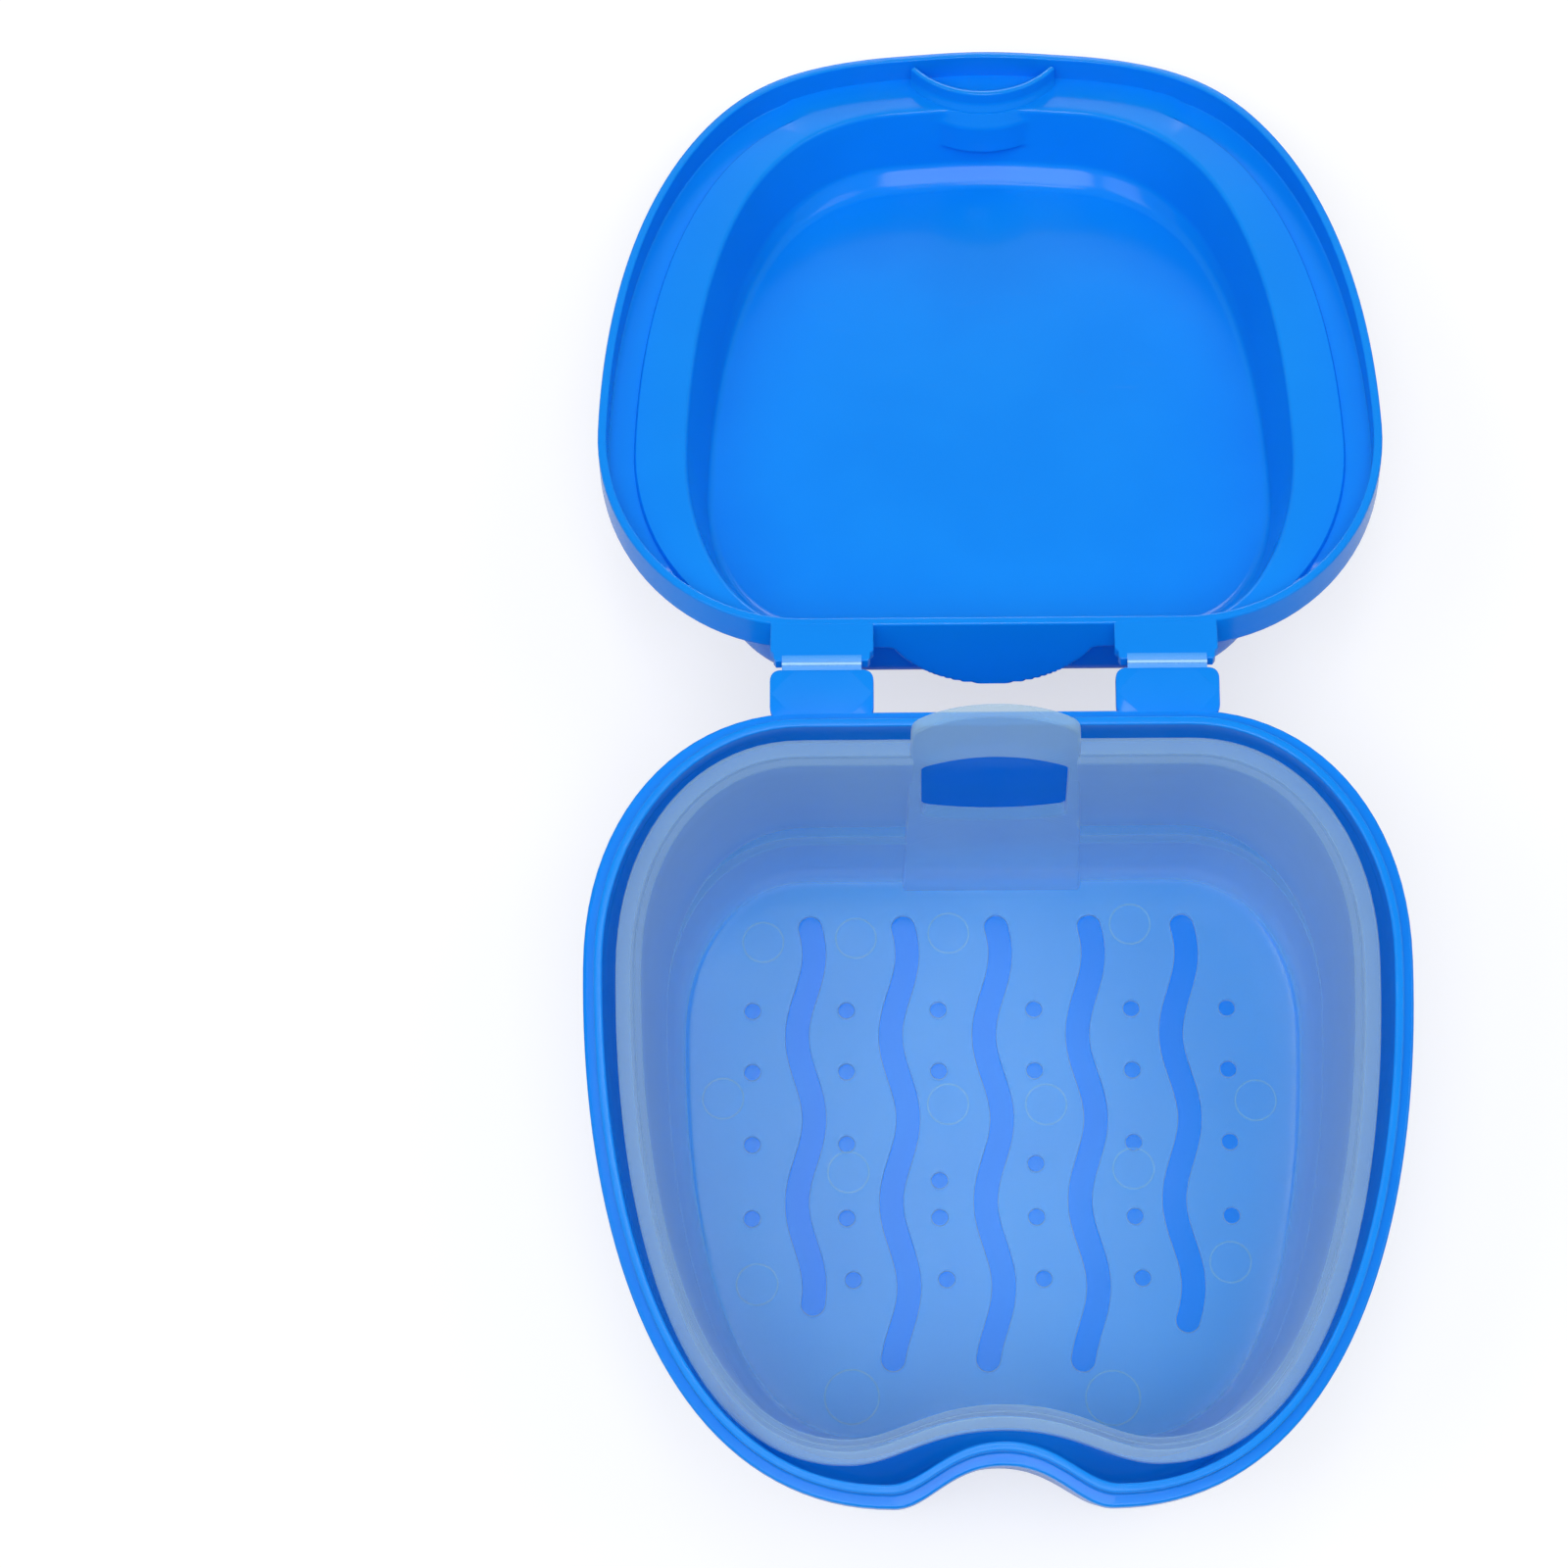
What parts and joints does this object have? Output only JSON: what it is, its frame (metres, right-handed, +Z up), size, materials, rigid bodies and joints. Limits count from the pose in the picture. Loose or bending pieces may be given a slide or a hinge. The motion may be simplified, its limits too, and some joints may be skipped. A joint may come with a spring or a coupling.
{
  "type": "denture case",
  "caption": "Open plastic denture case with a lid on moulded strap hinges and a lift-out straining basket with a tall finger handle.",
  "frame": {"origin": "middle of the flat underside that the case rests on, half-way between the base's back edge and its two front lobes", "axes": "+Z up, +Y towards the hinge and the opened lid, +X to the right seen from the front"},
  "size_m": [0.085, 0.1698, 0.0505],
  "materials": {
    "case_blue": "glossy moulded polypropylene in bright blue",
    "hinge_web_blue": "the same plastic, thin and paler where it bends",
    "basket_frosted": "milky, slightly see-through moulded polypropylene"
  },
  "bodies": {
    "base": {"base_shell": "case_blue", "base_leaf_left": "case_blue", "base_leaf_right": "case_blue", "hinge_web_left": "hinge_web_blue", "hinge_web_right": "hinge_web_blue"},
    "lid": {"lid_shell": "case_blue", "lid_leaf_left": "case_blue", "lid_leaf_right": "case_blue"},
    "basket": {"basket_wall": "basket_frosted", "basket_floor": "basket_frosted", "basket_handle": "basket_frosted"}
  },
  "joints": [
    {"name": "lid_hinge", "type": "hinge", "parent": "base", "child": "lid", "pos_m": [0, 0.0462, 0.041], "axis": [1, 0, 0], "range_deg": [0, 200.5], "deforming": ["hinge_web_left", "hinge_web_right"]},
    {"name": "basket_lift", "type": "slide", "parent": "base", "child": "basket", "axis": [0, 0, 1], "range_m": [0, 0.06]}
  ]
}
